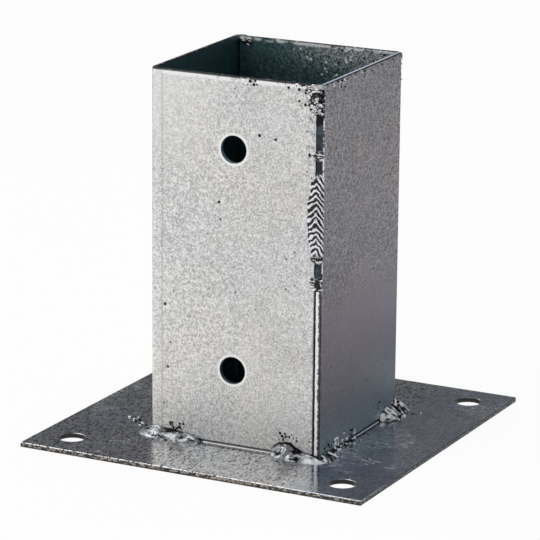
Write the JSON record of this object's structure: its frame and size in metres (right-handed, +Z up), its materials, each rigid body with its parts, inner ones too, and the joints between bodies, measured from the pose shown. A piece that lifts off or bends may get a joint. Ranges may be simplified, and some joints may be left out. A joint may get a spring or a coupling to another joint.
{
  "type": "timber post base",
  "caption": "Bolt-down steel base for a square timber post: a welded open-topped sleeve with cross-bolt holes, standing on a square plate with anchor holes at its corners.",
  "frame": {"origin": "centre of the plate's underside, where the base stands on the concrete", "axes": "+Z up out of the sleeve's open mouth; X and Y along the plate's edges; the cross bolts run nearly along Y"},
  "size_m": [0.15, 0.15, 0.1523],
  "materials": {
    "zinc_sheet": "zinc-coated folded sheet, matt with fine mottling",
    "zinc_plate": "zinc-coated flat plate, satin, sheared edges",
    "weld_metal": "zinc-coated weld metal, glossy and rippled"
  },
  "bodies": {
    "root": {"base_plate": "zinc_plate", "sleeve_sheet_front_left": "zinc_sheet", "sleeve_sheet_back_right": "zinc_sheet", "seam_weld_front_right": "weld_metal", "seam_weld_back_left": "weld_metal", "foot_weld_front_left": "weld_metal", "foot_weld_front_right": "weld_metal", "foot_weld_back_right": "weld_metal", "foot_weld_back_left": "weld_metal"}
  },
  "joints": []
}
